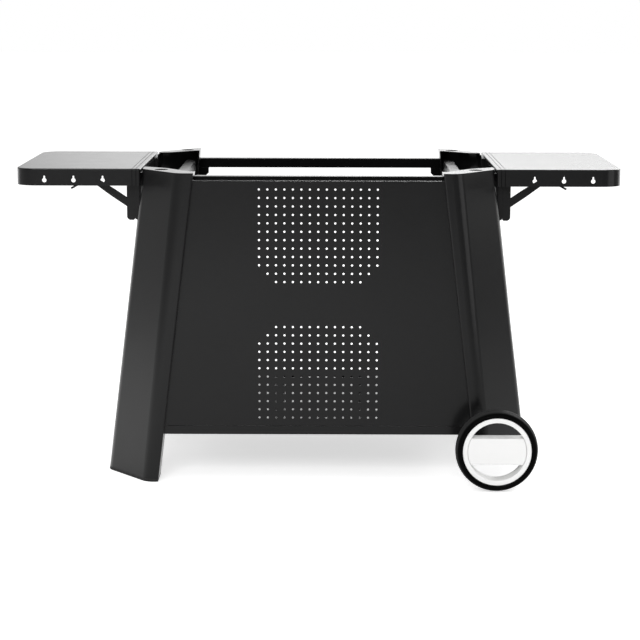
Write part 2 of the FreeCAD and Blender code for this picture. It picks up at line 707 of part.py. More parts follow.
def make_bracket_mount(side, end):
    """Plate with a raised pad behind the post, and a rib that fills the wedge to the splayed leg."""
    low = POST_BOTTOM_Z + MOUNT_LIFT
    pad_low = POST_BOTTOM_Z + MOUNT_NOTCH
    plate_x = POST_X - MOUNT_PAD_T
    y0 = BRACKET_Y - MOUNT_HALF_WIDTH
    y1 = BRACKET_Y + MOUNT_HALF_WIDTH
    inner_low = outer_edge(low)
    inner_top = outer_edge(MOUNT_TOP_Z)
    wedge = [(plate_x, low), (plate_x, MOUNT_TOP_Z), (inner_top, MOUNT_TOP_Z), (inner_low, low)]
    plate = prism_xz(wedge, y0, y1).common(box(POST_X - MOUNT_T, plate_x, y0, y1, low, MOUNT_TOP_Z))
    plate = plate.makeFillet(MOUNT_CORNER_R, [
        edge for edge in plate.Edges
        if edge.BoundBox.XMin > plate_x - SAME_PLACE and edge.BoundBox.ZMax < low + SAME_PLACE
    ])
    rib = prism_xz(wedge, BRACKET_Y - MOUNT_RIB_HALF_WIDTH, BRACKET_Y + MOUNT_RIB_HALF_WIDTH)
    rib = rib.cut(box(plate_x - MOUNT_CORNER_R, plate_x, y0, y1, low, low + MOUNT_CORNER_R))
    pad = box(
        plate_x, POST_X, BRACKET_Y - MOUNT_PAD_HALF_WIDTH, BRACKET_Y + MOUNT_PAD_HALF_WIDTH,
        pad_low, MOUNT_TOP_Z)
    mount = plate.fuse(rib).fuse(pad).removeSplitter()
    for z in BRACKET_SCREW_Z:
        mount = mount.cut(rod(
            BRACKET_SCREW_R + HOLE_CLEARANCE, V(bracket_screw_end(z), BRACKET_Y, z), V(POST_X, BRACKET_Y, z)))
    return mirror_to(mount, side, end)


def bracket_screw(z):
    """Countersunk screw through post, mount and leg, flush inside the post."""
    seat = V(POST_X, BRACKET_Y, z)
    cone = Part.makeCone(BRACKET_SCREW_R, BRACKET_SCREW_HEAD_R, POST_SHEET, seat, V(1, 0, 0))
    shank = rod(BRACKET_SCREW_R, V(bracket_screw_end(z), BRACKET_Y, z), seat + V(POST_SHEET, 0, 0))
    return cone.fuse(shank)


def make_bracket_post(side, end):
    """Channel open to the outside, rounded at its lower outer corner and round its pivot."""
    front_x = POST_X + POST_DEPTH
    top_z = FOLD_PIVOT_Z + POST_DEPTH / 2
    y0 = BRACKET_Y - POST_HALF_WIDTH
    outline = [
        (POST_X, (POST_BOTTOM_Z + top_z) / 2), (POST_X, POST_BOTTOM_Z), (front_x, POST_BOTTOM_Z),
        (front_x, top_z), (POST_X, top_z), (POST_X, (POST_BOTTOM_Z + top_z) / 2),
    ]
    radii = [POST_INNER_CORNER_R, POST_CORNER_R, POST_CORNER_R, POST_INNER_CORNER_R]
    face = Part.Face(Part.Wire(path_edges(outline, radii, side_lift(y0))))
    post = face.extrude(V(0, 2 * POST_HALF_WIDTH, 0))
    post = post.cut(box(
        POST_X + POST_SHEET, front_x, y0 + POST_SHEET, BRACKET_Y + POST_HALF_WIDTH - POST_SHEET,
        POST_BOTTOM_Z, top_z))
    for x, z in ((PIVOT_X, FOLD_PIVOT_Z), (BRACE_FOOT_X, BRACE_FOOT_Z)):
        post = post.cut(rod(PIN_R, V(x, y0, z), V(x, BRACKET_Y + POST_HALF_WIDTH, z)))
    for z in BRACKET_SCREW_Z:
        post = post.cut(bracket_screw(z))
    return mirror_to(post, side, end)


def make_bracket_arm(side, end):
    """Inverted channel under the table top, with ears at the pivot and a slot for the brace."""
    start = POST_X + ARM_END_GAP
    finish = TABLE_OUTER_X - ARM_END_INSET
    cheek_z = FOLD_PIVOT_Z - ARM_CHEEK_DROP
    outline = [
        (start, TABLE_UNDER_Z), (finish, TABLE_UNDER_Z), (finish, TABLE_UNDER_Z - ARM_TIP_DEPTH),
        (finish - ARM_TAPER, ARM_BOTTOM_Z), (PIVOT_X + ARM_CHEEK_REACH, ARM_BOTTOM_Z),
        (PIVOT_X + ARM_EAR_R, cheek_z), (start, cheek_z),
    ]
    y0 = BRACKET_Y - ARM_HALF_OUTER
    y1 = BRACKET_Y + ARM_HALF_OUTER
    arm = prism_xz(outline, y0, y1)
    ear = rod(ARM_EAR_R, V(PIVOT_X, y0, FOLD_PIVOT_Z), V(PIVOT_X, y1, FOLD_PIVOT_Z))
    arm = arm.fuse(ear).removeSplitter()
    arm = arm.cut(box(
        start - ARM_SHEET, finish + ARM_SHEET, BRACKET_Y - ARM_HALF_INNER, BRACKET_Y + ARM_HALF_INNER,
        FOLD_PIVOT_Z - ARM_EAR_R - ARM_SHEET, TABLE_UNDER_Z - ARM_SHEET))
    arm = arm.cut(rod(PIN_R + RUNNING_GAP, V(PIVOT_X, y0, FOLD_PIVOT_Z), V(PIVOT_X, y1, FOLD_PIVOT_Z)))
    slot_end = BRACE_HEAD_X + SLOT_LENGTH
    for x in (BRACE_HEAD_X, slot_end):
        arm = arm.cut(rod(SLOT_R, V(x, y0, BRACE_HEAD_Z), V(x, y1, BRACE_HEAD_Z)))
    arm = arm.cut(box(BRACE_HEAD_X, slot_end, y0, y1, BRACE_HEAD_Z - SLOT_R, BRACE_HEAD_Z + SLOT_R))
    for index in range(STUDS_PER_ARM):
        top = V(finish - STUD_INSET - index * STUD_SPACING, BRACKET_Y, TABLE_UNDER_Z)
        arm = arm.cut(rod(SCREW_R + HOLE_CLEARANCE, top - V(0, 0, 2 * ARM_SHEET), top))
    lever_hole = V(LEVER_PIVOT_X, BRACKET_Y + ARM_HALF_INNER, LEVER_PIVOT_Z)
    arm = arm.cut(rod(PIN_R / 2, lever_hole, lever_hole + V(0, ARM_SHEET, 0)))
    return mirror_to(arm, side, end)


def make_brace(side, end):
    """Channel from the foot pin in the post to the sliding head in the arm, narrower at the head."""
    foot = V(BRACE_FOOT_X, BRACKET_Y, BRACE_FOOT_Z)
    head = V(BRACE_HEAD_X, BRACKET_Y, BRACE_HEAD_Z)
    along = (head - foot).normalize()
    square = V(-along.z, 0, along.x)
    wide = square * BRACE_HALF_HEIGHT
    narrow = square * BRACE_HEAD_R
    neck = head - along * BRACE_NECK
    half = V(0, BRACE_HALF_WIDTH, 0)
    corners = [foot + wide, neck + wide, head + narrow, head - narrow, neck - wide, foot - wide]
    bar = Part.Face(Part.makePolygon([c - half for c in corners + corners[:1]])).extrude(half * 2)
    bar = bar.fuse(rod(BRACE_HALF_HEIGHT, foot - half, foot + half))
    bar = bar.fuse(rod(BRACE_HEAD_R, head - half, head + half)).removeSplitter()
    hollow_half = V(0, BRACE_HALF_WIDTH - BRACE_SHEET, 0)
    sheet = square * BRACE_SHEET
    stretch = along * (2 * BRACE_HALF_HEIGHT)
    corners = [
        foot - wide + sheet - stretch, neck - wide + sheet, head - narrow + sheet,
        head - narrow + sheet + stretch, head + wide * 2 + stretch, foot + wide * 2 - stretch,
    ]
    open_face = Part.Face(Part.makePolygon([c - hollow_half for c in corners + corners[:1]]))
    brace = bar.cut(open_face.extrude(hollow_half * 2))
    brace = brace.cut(rod(PIN_R + RUNNING_GAP, foot - half, foot + half))
    brace = brace.fuse(rod(PIN_R, head - half, head + half))
    return mirror_to(brace, side, end)


def make_release_lever(side, end):
    """Flat stamped lever beside the brace, with a bent finger tab below the table's rim."""
    y0 = LEVER_Y
    pivot = V(LEVER_PIVOT_X, y0, LEVER_PIVOT_Z)
    tip = pivot + V(LEVER_TIP_REACH, 0, -LEVER_TIP_DROP)
    angle = math.radians(LEVER_TAIL_ANGLE)
    tail = V(math.cos(angle), 0, -math.sin(angle))
    square = V(math.sin(angle), 0, math.cos(angle)) * LEVER_TAIL_T
    boss = V(LEVER_BOSS_R, 0, 0)
    root = tip - tail * ((LEVER_TIP_REACH + LEVER_BOSS_R) / math.cos(angle))
    bend = root + tail * (2 * LEVER_BOSS_R / math.cos(angle))
    outline = [tip, tip + square, bend + square, pivot + boss, pivot - boss, root]
    lever = Part.Face(Part.makePolygon(outline + outline[:1])).extrude(V(0, LEVER_T, 0))
    lever = lever.fuse(rod(LEVER_BOSS_R, pivot, pivot + V(0, LEVER_T, 0)))
    tab_root = tip - tail * (2 * LEVER_TAIL_T)
    tab = [tip, tip + square, tab_root + square, tab_root]
    lever = lever.fuse(Part.Face(Part.makePolygon(tab + tab[:1])).extrude(V(0, LEVER_TAB_WIDTH, 0)))
    lever = lever.removeSplitter()
    lever = lever.cut(rod(PIN_R / 2 + RUNNING_GAP, pivot, pivot + V(0, LEVER_T, 0)))
    return mirror_to(lever, side, end)


def lever_pin():
    """Short rivet through lever and the outer flange of the arm."""
    inner = V(LEVER_PIVOT_X, LEVER_Y, LEVER_PIVOT_Z)
    face = V(LEVER_PIVOT_X, BRACKET_Y + ARM_HALF_OUTER, LEVER_PIVOT_Z)
    return rod(PIN_R / 2, inner, face).fuse(rod(PIN_R, face, face + V(0, PIN_HEAD_T, 0)))


def headed_pin(x, z, half_grip):
    """Rivet across the bracket with a head at each end."""
    low = BRACKET_Y - half_grip
    high = BRACKET_Y + half_grip
    pin = rod(PIN_R, V(x, low, z), V(x, high, z))
    pin = pin.fuse(rod(PIN_HEAD_R, V(x, low - PIN_HEAD_T, z), V(x, low, z)))
    return pin.fuse(rod(PIN_HEAD_R, V(x, high, z), V(x, high + PIN_HEAD_T, z)))


def four_places(shape):
    return [mirror_to(shape, side, end) for side in (-1, 1) for end in (-1, 1)]


def ring_of_revolution(points_and_arcs):
    """A solid turned about the axle line from a profile of (radius, y) lines and arcs."""
    edges = []
    for item in points_and_arcs:
        spots = [V(AXLE_X + radius, y, AXLE_Z) for radius, y in item]
        if len(spots) == 2:
            edges.append(Part.LineSegment(*spots).toShape())
        else:
            edges.append(Part.Arc(*spots).toShape())
    face = Part.Face(Part.Wire(edges))
    return face.revolve(V(AXLE_X, 0, AXLE_Z), V(0, 1, 0), 360)


def make_tyre(end):
    """Solid rubber tyre with rounded shoulders and two grooves round the tread."""
    mid = WHEEL_MID_Y
    half = WHEEL_WIDTH / 2
    seat = RIM_HALF_WIDTH
    bulge_r = (RIM_R + WHEEL_R) / 2
    shoulder_r = WHEEL_R - TYRE_SHOULDER_DROP
    shoulder_y = half - TYRE_SHOULDER
    soft_r = shoulder_r - TYRE_SHOULDER_DROP
    soft_y = half - TYRE_SHOULDER / 3
    bead_r = RIM_R + TYRE_BEAD
    bead_y = half - (half - seat) / 3
    profile = [
        [(RIM_R, mid - seat), (RIM_R, mid + seat)],
        [(RIM_R, mid + seat), (bead_r, mid + bead_y), (bulge_r, mid + half)],
        [(bulge_r, mid + half), (soft_r, mid + soft_y), (shoulder_r, mid + shoulder_y)],
        [(shoulder_r, mid + shoulder_y), (WHEEL_R, mid), (shoulder_r, mid - shoulder_y)],
        [(shoulder_r, mid - shoulder_y), (soft_r, mid - soft_y), (bulge_r, mid - half)],
        [(bulge_r, mid - half), (bead_r, mid - bead_y), (RIM_R, mid - seat)],
    ]
    tyre = ring_of_revolution(profile)
    for y in (mid - TREAD_GROOVE_Y, mid + TREAD_GROOVE_Y):
        start = V(AXLE_X, y - TREAD_GROOVE / 2, AXLE_Z)
        groove = Part.makeCylinder(2 * WHEEL_R, TREAD_GROOVE, start, V(0, 1, 0))
        core = Part.makeCylinder(WHEEL_R - TREAD_GROOVE, TREAD_GROOVE, start, V(0, 1, 0))
        tyre = tyre.cut(groove.cut(core))
    return mirror_to(tyre, 1, end)


def band_block(half_height, radius, y0, y1):
    """The part of a disc between two level chords."""
    disc = Part.makeCylinder(radius, y1 - y0, V(AXLE_X, y0, AXLE_Z), V(0, 1, 0))
    slab = box(AXLE_X - radius, AXLE_X + radius, y0, y1, AXLE_Z - half_height, AXLE_Z + half_height)
    return disc.common(slab)


def make_hub(end):
    """Moulded rim, open above and below a level web that carries the bore."""
    y0 = HUB_INNER_Y
    y1 = HUB_OUTER_Y
    bore_r = RIM_BORE_R
    c = RIM_CHAMFER
    corners = [
        (RIM_R, y0), (RIM_R, y1 - c), (RIM_R - c, y1), (bore_r + c, y1), (bore_r, y1 - c), (bore_r, y0),
    ]
    rim = ring_of_revolution(list(zip(corners, corners[1:] + corners[:1])))
    web = band_block(BAND_HALF_HEIGHT, bore_r + c, WEB_BACK_Y, WEB_FRONT_Y)
    pocket = band_block(BAND_HALF_HEIGHT - WEB_WALL, bore_r - WEB_WALL, WEB_BACK_Y, WEB_FRONT_Y - WEB_WALL)
    web = web.cut(pocket)
    boss = Part.makeCylinder(BOSS_R, WEB_FRONT_Y - y0, V(AXLE_X, y0, AXLE_Z), V(0, 1, 0))
    hub = rim.fuse(web).fuse(boss)
    for angle in (0, 90, 180, 270):
        rib = box(AXLE_X, AXLE_X + BAND_HALF_HEIGHT, WEB_BACK_Y, WEB_FRONT_Y,
                  AXLE_Z - WEB_WALL / 2, AXLE_Z + WEB_WALL / 2)
        rib.rotate(V(AXLE_X, 0, AXLE_Z), V(0, 1, 0), angle)
        hub = hub.fuse(rib)
    hub = hub.removeSplitter()
    hub = hub.cut(Part.makeCylinder(AXLE_R + RUNNING_GAP, y1 - y0, V(AXLE_X, y0, AXLE_Z), V(0, 1, 0)))
    nut_room = Part.makeCylinder(
        NUT_R + END_GAP, NUT_T + END_GAP, V(AXLE_X, WEB_FRONT_Y - NUT_T - END_GAP, AXLE_Z), V(0, 1, 0))
    return mirror_to(hub.cut(nut_room), 1, end)


def make_hub_cover(end):
    """Plain cover of the level band, with eased top and bottom edges."""
    front = COVER_FRONT_Y
    cover = band_block(BAND_HALF_HEIGHT, RIM_BORE_R - COVER_GAP, WEB_FRONT_Y, front)
    span = 2 * RIM_BORE_R
    for up in (-1, 1):
        edge = AXLE_Z + up * BAND_HALF_HEIGHT
        corner = [
            V(AXLE_X - span, front - BAND_CHAMFER, edge), V(AXLE_X - span, front, edge),
            V(AXLE_X - span, front, edge - up * BAND_CHAMFER),
        ]
        cover = cover.cut(Part.Face(Part.makePolygon(corner + corner[:1])).extrude(V(2 * span, 0, 0)))
    return mirror_to(cover, 1, end)


def make_axle():
    reach = WEB_FRONT_Y - END_GAP
    return rod(AXLE_R, V(AXLE_X, -reach, AXLE_Z), V(AXLE_X, reach, AXLE_Z))


def make_axle_tube():
    start = V(AXLE_X, -TUBE_END_Y, AXLE_Z)
    end = V(AXLE_X, TUBE_END_Y, AXLE_Z)
    return rod(AXLE_TUBE_R, start, end).cut(rod(AXLE_TUBE_BORE_R, start, end))


def turned_ring(radius, bore, y0, y1):
    start = V(AXLE_X, y0, AXLE_Z)
    end = V(AXLE_X, y1, AXLE_Z)
    return rod(radius, start, end).cut(rod(bore, start, end))


def make_axle_washers():
    washer = turned_ring(WASHER_R, AXLE_R + RUNNING_GAP, TUBE_END_Y, TUBE_END_Y + WASHER_T)
    return Part.makeCompound([mirror_to(washer, 1, end) for end in (-1, 1)])


def make_axle_nuts():
    """Push-on nuts pressed on the axle ends, in the room behind the hub covers."""
    nut = turned_ring(NUT_R, AXLE_R, WEB_FRONT_Y - NUT_T, WEB_FRONT_Y - END_GAP)
    return Part.makeCompound([mirror_to(nut, 1, end) for end in (-1, 1)])


def cradle_screw():
    """Pan-head screw through a cradle tab and the shelf."""
    seat = cradle_screw_spot()
    head = rod(SCREW_HEAD_R, seat, seat + V(0, 0, SCREW_HEAD_T))
    return head.fuse(rod(SCREW_R, seat - V(0, 0, SCREW_LENGTH), seat))


def arm_studs():
    """Studs welded under the table top, with the nuts that hold an arm."""
    studs = []
    for index in range(STUDS_PER_ARM):
        x = TABLE_OUTER_X - ARM_END_INSET - STUD_INSET - index * STUD_SPACING
        top = V(x, BRACKET_Y, TABLE_UNDER_Z)
        stud = rod(SCREW_R, top - V(0, 0, STUD_LENGTH), top)
        nut_top = top - V(0, 0, ARM_SHEET)
        studs.append(stud.fuse(rod(STUD_NUT_R, nut_top - V(0, 0, STUD_NUT_T), nut_top)))
    return studs


def make_frame_screws():
    screws = [mirror_to(cradle_screw(), side, 1) for side in (-1, 1)]
    for end, y, z, grip in frame_screw_places():
        strip_top, _ = leg_style(end)
        screw = flange_screw(strip_top, y, z, grip)
        screws += [mirror_to(screw, side, end) for side in (-1, 1)]
    return Part.makeCompound(screws)


def build():
    parts = {}
    sides = {"left": -1, "right": 1}
    ends = {"front": -1, "rear": 1}
    for end_name, end in ends.items():
        for side_name, side in sides.items():
            place = end_name + "_" + side_name
            parts["leg_" + place] = make_leg(side, end)
            parts["leg_cap_" + place] = make_leg_cap(side, end)
            parts["bracket_mount_" + place] = make_bracket_mount(side, end)
            parts["bracket_post_" + place] = make_bracket_post(side, end)
            parts["bracket_arm_" + place] = make_bracket_arm(side, end)
            parts["brace_" + place] = make_brace(side, end)
            parts["release_lever_" + place] = make_release_lever(side, end)
        parts["foot_glide_" + end_name] = make_glide(end)
        parts["wheel_tyre_" + end_name] = make_tyre(end)
        parts["wheel_hub_" + end_name] = make_hub(end)
        parts["hub_cover_" + end_name] = make_hub_cover(end)
    for side_name, side in sides.items():
        parts["side_table_" + side_name] = make_side_table(side)
        parts["side_rail_" + side_name] = make_side_rail(side)
        pins = [mirror_to(lever_pin(), side, end) for end in ends.values()]
        parts["lever_pins_" + side_name] = Part.makeCompound(pins)
        studs = [mirror_to(stud, side, end) for stud in arm_studs() for end in ends.values()]
        parts["table_studs_" + side_name] = Part.makeCompound(studs)
    parts["front_panel"] = make_front_panel()
    parts["bottom_shelf"] = make_bottom_shelf()
    parts["front_rail"] = cross_rail(LEG_STRIP_TOP_FRONT, FRONT_RAIL_TOP_Z, -FRONT_RAIL_Y)
    parts["rear_rail"] = cross_rail(LEG_STRIP_TOP_REAR, REAR_RAIL_TOP_Z, REAR_RAIL_Y)
    parts["rear_gussets"] = make_rear_gussets()
    parts["bottle_cradle"] = make_bottle_cradle()
    fold_pin = headed_pin(PIVOT_X, FOLD_PIVOT_Z, ARM_HALF_OUTER + END_GAP)
    brace_pin = rod(
        PIN_R, V(BRACE_FOOT_X, BRACKET_Y - POST_HALF_WIDTH, BRACE_FOOT_Z),
        V(BRACE_FOOT_X, BRACKET_Y + POST_HALF_WIDTH, BRACE_FOOT_Z))
    parts["fold_pins"] = Part.makeCompound(four_places(fold_pin))
    parts["brace_pins"] = Part.makeCompound(four_places(brace_pin))
    screws = [screw for z in BRACKET_SCREW_Z for screw in four_places(bracket_screw(z))]
    parts["bracket_screws"] = Part.makeCompound(screws)
    parts["frame_screws"] = make_frame_screws()
    parts["axle"] = make_axle()
    parts["axle_tube"] = make_axle_tube()
    parts["axle_washers"] = make_axle_washers()
    parts["axle_nuts"] = make_axle_nuts()
    return parts


os.makedirs("parts", exist_ok=True)
for name, shape in build().items():
    shape.exportStep("parts/" + name + ".step")
    print(name, len(shape.Solids), round(shape.Volume), shape.isValid())
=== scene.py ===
import math

import bpy
from mathutils import Matrix, Vector

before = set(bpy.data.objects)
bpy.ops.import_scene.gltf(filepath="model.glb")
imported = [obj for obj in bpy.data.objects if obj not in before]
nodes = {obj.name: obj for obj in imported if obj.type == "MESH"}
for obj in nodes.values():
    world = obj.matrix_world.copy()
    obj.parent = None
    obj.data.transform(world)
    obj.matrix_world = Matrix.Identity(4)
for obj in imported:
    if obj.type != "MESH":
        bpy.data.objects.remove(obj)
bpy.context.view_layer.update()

# Camera, fitted to the photograph's view
CAMERA_AT = (0.023728, -4.948110, 1.175273)
CAMERA_YAW = 0.2396
CAMERA_PITCH = 90 - 9.654
CAMERA_ROLL = 0.121
LENS = 110.365
SENSOR = 36.0
SEES_TO = 200.0

# The two grooves along the inner edge of a side table: distance of their middles from the centre,
# width, and the height that only their floors lie below (metres). Their floors are painted near black:
# painted shade for the little light that gets into them
GROOVES = (0.4385, 0.4480)
GROOVE_WIDTH = 0.0013
GROOVE_BELOW = 0.74285
# Near-black painted shade on the groove floors
PAINTED_GROOVE_SHADE = (0.002, 0.002, 0.002, 1.0)

# Tread of the tyres: place of the axle (x, z), the radii between which a side becomes tread (metres),
# and the share of matt grey in its black
WHEEL_AT = (0.4220, 0.0975)
TREAD_RADII = (0.0915, 0.0960)
TREAD_SHARE = 0.6
TREAD_COLOUR = (0.06, 0.06, 0.06, 1.0)

# Surface noise: the middle part of its range that is used, and how its two layers differ
NOISE_MIDDLE = (0.3, 0.7)
COLOUR_DETAIL = 4.0
ROUGHNESS_DETAIL = 3.0
ROUGHNESS_FINER = 3.1

# Outer radius on the edges of the square tubes and gussets (metres), and how they are rounded
TUBE_RADIUS = 0.0012
GUSSET_RADIUS = 0.0006
ROUNDED = {
    "front_rail": TUBE_RADIUS, "rear_rail": TUBE_RADIUS, "side_rail_left": TUBE_RADIUS,
    "side_rail_right": TUBE_RADIUS, "rear_gussets": GUSSET_RADIUS,
}
WELD_WITHIN = 0.00001
ROUND_SEGMENTS = 3
SHARP_ANGLE = 50

# The world by the kind of ray: strength on surfaces, and in reflections in front on the left and
# right, and behind on the left; behind on the right it is 1
WHITE = (1.0, 1.0, 1.0, 1.0)
WORLD_ON_SURFACES = 0.62
WORLD_FRONT_LEFT = 0.36
WORLD_FRONT_RIGHT = 0.24
WORLD_REAR_LEFT = 0.55

# Directions between which the world changes: from left to right in front, the same behind,
# and from front to rear
FRONT_ACROSS = (-0.9, 0.9)
REAR_ACROSS = (-0.2, -0.09)
FRONT_TO_REAR = (0.12, 0.5)

# Floor: size and height (metres), colour, glow that makes it white to the camera, and the distances
# between which that glow fades in reflections
FLOOR_SIZE = 60.0
FLOOR_Z = -0.0005
FLOOR_COLOUR = 0.9
FLOOR_LIFT = 0.62
LIFT_FADES = (3.0, 6.0)

# In reflections the floor is white behind the object, past lines that run back at this slope
BEHIND_SLOPE = 0.45
WHITE_BEHIND = 1.5

# In front it is dimmer: where it dims from left to right (metres), and its share there
FLOOR_ACROSS = (-1.2, 2.2)
LEFT_SHARE = 0.74
RIGHT_SHARE = 0.28

# Soft boxes: name, place, target, size and watts
LAMPS = (
    ("front", (-0.8, -5.6, 3.4), (0.1, 0.0, 0.3), (3.0, 2.0), 150),
    ("right", (3.4, -1.7, 0.95), (0.4, 0.0, 0.4), (2.2, 1.8), 13),
    ("rear", (1.8, 3.7, 2.8), (0.4, 0.0, 0.74), (4.8, 2.4), 105),
)


def node_tree(name):
    """A new material with its tree emptied down to one output."""
    material = bpy.data.materials.new(name)
    material.use_nodes = True
    tree = material.node_tree
    tree.nodes.clear()
    output = tree.nodes.new("ShaderNodeOutputMaterial")
    return material, tree, output


def add(tree, kind, **values):
    """A node with its attributes or inputs set by name."""
    node = tree.nodes.new(kind)
    for key, value in values.items():
        if hasattr(node, key):
            setattr(node, key, value)
        else:
            node.inputs[key.replace("_", " ")].default_value = value
    return node


def link(tree, source, target):
    tree.links.new(source, target)


def noise(tree, coordinates, scale, detail=2.0, stretch=None):
    """Noise in the object's own coordinates; stretch scales the three axes apart."""
    texture = add(tree, "ShaderNodeTexNoise", Scale=scale, Detail=detail)
    if stretch:
        mapping = add(tree, "ShaderNodeMapping", Scale=stretch)
        link(tree, coordinates, mapping.inputs["Vector"])
        coordinates = mapping.outputs["Vector"]
    link(tree, coordinates, texture.inputs["Vector"])
    return texture.outputs["Fac"]


def blend_colours(tree, factor, first, second):
    """The first colour where the factor is 0, the second where it is 1."""
    node = add(tree, "ShaderNodeMix", data_type="RGBA")
    link(tree, factor, node.inputs["Factor"])
    colour_inputs = [socket for socket in node.inputs if socket.type == "RGBA"]
    for socket, colour in zip(colour_inputs, (first, second)):
        socket.default_value = (*colour, 1.0)
    return next(socket for socket in node.outputs if socket.type == "RGBA")


def calculate(tree, operation, *values):
    """A maths node on sockets or numbers."""
    node = add(tree, "ShaderNodeMath", operation=operation)
    for socket, value in zip(node.inputs, values):
        if isinstance(value, float):
            socket.default_value = value
        else:
            link(tree, value, socket)
    return node.outputs[0]


def ramp(tree, value, near, far, first, last, shape="SMOOTHSTEP"):
    """A change from first to last while the value goes from near to far."""
    node = add(tree, "ShaderNodeMapRange", interpolation_type=shape)
    for key, number in (("From Min", near), ("From Max", far), ("To Min", first), ("To Max", last)):
        node.inputs[key].default_value = number
    link(tree, value, node.inputs["Value"])
    return node.outputs["Result"]


def groove_shade_mask(tree, coordinates):
    """1 on the floors of the two grooves of either side table, where shade is painted; 0 elsewhere."""
    apart = add(tree, "ShaderNodeSeparateXYZ")
    link(tree, coordinates, apart.inputs[0])
    out = calculate(tree, "ABSOLUTE", apart.outputs["X"])
    near = [calculate(tree, "COMPARE", out, middle, GROOVE_WIDTH / 2) for middle in GROOVES]
    below = calculate(tree, "LESS_THAN", apart.outputs["Z"], GROOVE_BELOW)
    return calculate(tree, "MULTIPLY", calculate(tree, "ADD", *near), below)


def on_tread(tree, coordinates):
    """The matt share on the tread of either wheel, 0 on the sides of the tyre."""
    from_axle = add(tree, "ShaderNodeVectorMath", operation="SUBTRACT")
    from_axle.inputs[1].default_value = (WHEEL_AT[0], 0.0, WHEEL_AT[1])
    flat = add(tree, "ShaderNodeVectorMath", operation="MULTIPLY")
    flat.inputs[1].default_value = (1.0, 0.0, 1.0)
    radius = add(tree, "ShaderNodeVectorMath", operation="LENGTH")
    link(tree, coordinates, from_axle.inputs[0])
    link(tree, from_axle.outputs[0], flat.inputs[0])
    link(tree, flat.outputs[0], radius.inputs[0])
    return ramp(tree, radius.outputs["Value"], *TREAD_RADII, 0.0, TREAD_SHARE)


def surface(name, colours, roughness, metallic=0.0, ior=1.5, coat=None, patches=9.0, grain=None, wear_and_painted_shade=None):
    """A surface with slow colour and roughness variation and fine bumps.

    coat is (weight, roughness, index of refraction) of a clear layer on top.
    grain is a list of (scale, bump height in metres, stretch) from coarse to fine.
    The last argument, for wear and painted shade, is a function of tree and coordinates that gives the share
    of a flat matt colour, and that colour: grey wear on tyre treads, painted shade on groove floors.
    """
    material, tree, output = node_tree(name)
    shader = add(tree, "ShaderNodeBsdfPrincipled", Metallic=metallic)
    shader.inputs["IOR"].default_value = ior
    if coat:
        weight, coat_roughness, coat_ior = coat
        shader.inputs["Coat Weight"].default_value = weight
        shader.inputs["Coat Roughness"].default_value = coat_roughness
        shader.inputs["Coat IOR"].default_value = coat_ior
    where = add(tree, "ShaderNodeTexCoord").outputs["Object"]
    slow = noise(tree, where, patches, COLOUR_DETAIL)
    link(tree, blend_colours(tree, slow, *colours), shader.inputs["Base Color"])
    uneven = noise(tree, where, ROUGHNESS_FINER * patches, ROUGHNESS_DETAIL)
    link(tree, ramp(tree, uneven, *NOISE_MIDDLE, *roughness, "LINEAR"), shader.inputs["Roughness"])
    normal = None
    for scale, height, stretch in grain or []:
        bump = add(tree, "ShaderNodeBump", Strength=1.0, Distance=height)
        link(tree, noise(tree, where, scale, stretch=stretch), bump.inputs["Height"])
        if normal:
            link(tree, normal, bump.inputs["Normal"])
        normal = bump.outputs["Normal"]
    if normal:
        link(tree, normal, shader.inputs["Normal"])
    seen = shader.outputs["BSDF"]
    # Mix in a flat matt colour: grey wear on tyre treads, or painted shade on groove floors
    if wear_and_painted_shade:
        find, colour = wear_and_painted_shade
        mixed = add(tree, "ShaderNodeMixShader")
        link(tree, find(tree, where), mixed.inputs[0])
        link(tree, seen, mixed.inputs[1])
        link(tree, add(tree, "ShaderNodeBsdfDiffuse", Color=colour).outputs["BSDF"], mixed.inputs[2])
        seen = mixed.outputs["Shader"]
    link(tree, seen, output.inputs["Surface"])
    return material


coat_of_steel = dict(
    colours=((0.0050, 0.0050, 0.0052), (0.0068, 0.0068, 0.0071)), roughness=(0.30, 0.38), ior=1.2,
    coat=(1.0, 0.18, 1.3), patches=7.0, grain=[(420.0, 0.00004, None), (1500.0, 0.000015, None)])
powder_coat = surface("black_coated_steel", **coat_of_steel)
# Powder coat with painted shade on the floors of the side tables' grooves
coat_with_painted_groove_shade = surface("black_coated_steel_painted_groove_shade", wear_and_painted_shade=(groove_shade_mask, PAINTED_GROOVE_SHADE), **coat_of_steel)
# A darker, less reflective copy of the powder coat on the rails and gussets: painted shade for tubes that sit
# in shadow between the legs and behind the panel
coat_painted_in_shade = surface(
    "black_coated_steel_painted_shade", ((0.0020, 0.0020, 0.0021), (0.0030, 0.0030, 0.0031)), (0.34, 0.42), ior=1.1,
    coat=(1.0, 0.2, 1.16), patches=7.0, grain=[(420.0, 0.00004, None)])
zinc = surface(
    "zinc_plated_steel", ((0.56, 0.57, 0.57), (0.68, 0.68, 0.66)), (0.22, 0.36),
    metallic=1.0, patches=160.0, grain=[(2600.0, 0.000006, (1.0, 0.2, 1.0))])
rubber = surface(
    "black_rubber", ((0.0010, 0.0010, 0.0010), (0.0018, 0.0018, 0.0018)), (0.28, 0.38),
    ior=1.12, patches=22.0, grain=[(260.0, 0.00010, None), (1100.0, 0.00004, None)],
    wear_and_painted_shade=(on_tread, TREAD_COLOUR))
white_plastic = surface(
    "white_plastic", ((0.88, 0.88, 0.87), (0.91, 0.91, 0.905)), (0.30, 0.40),
    patches=14.0, grain=[(900.0, 0.00001, None)])
black_plastic = surface(
    "black_plastic", ((0.008, 0.008, 0.008), (0.012, 0.012, 0.012)), (0.45, 0.58),
    ior=1.4, patches=30.0, grain=[(800.0, 0.00006, None)])

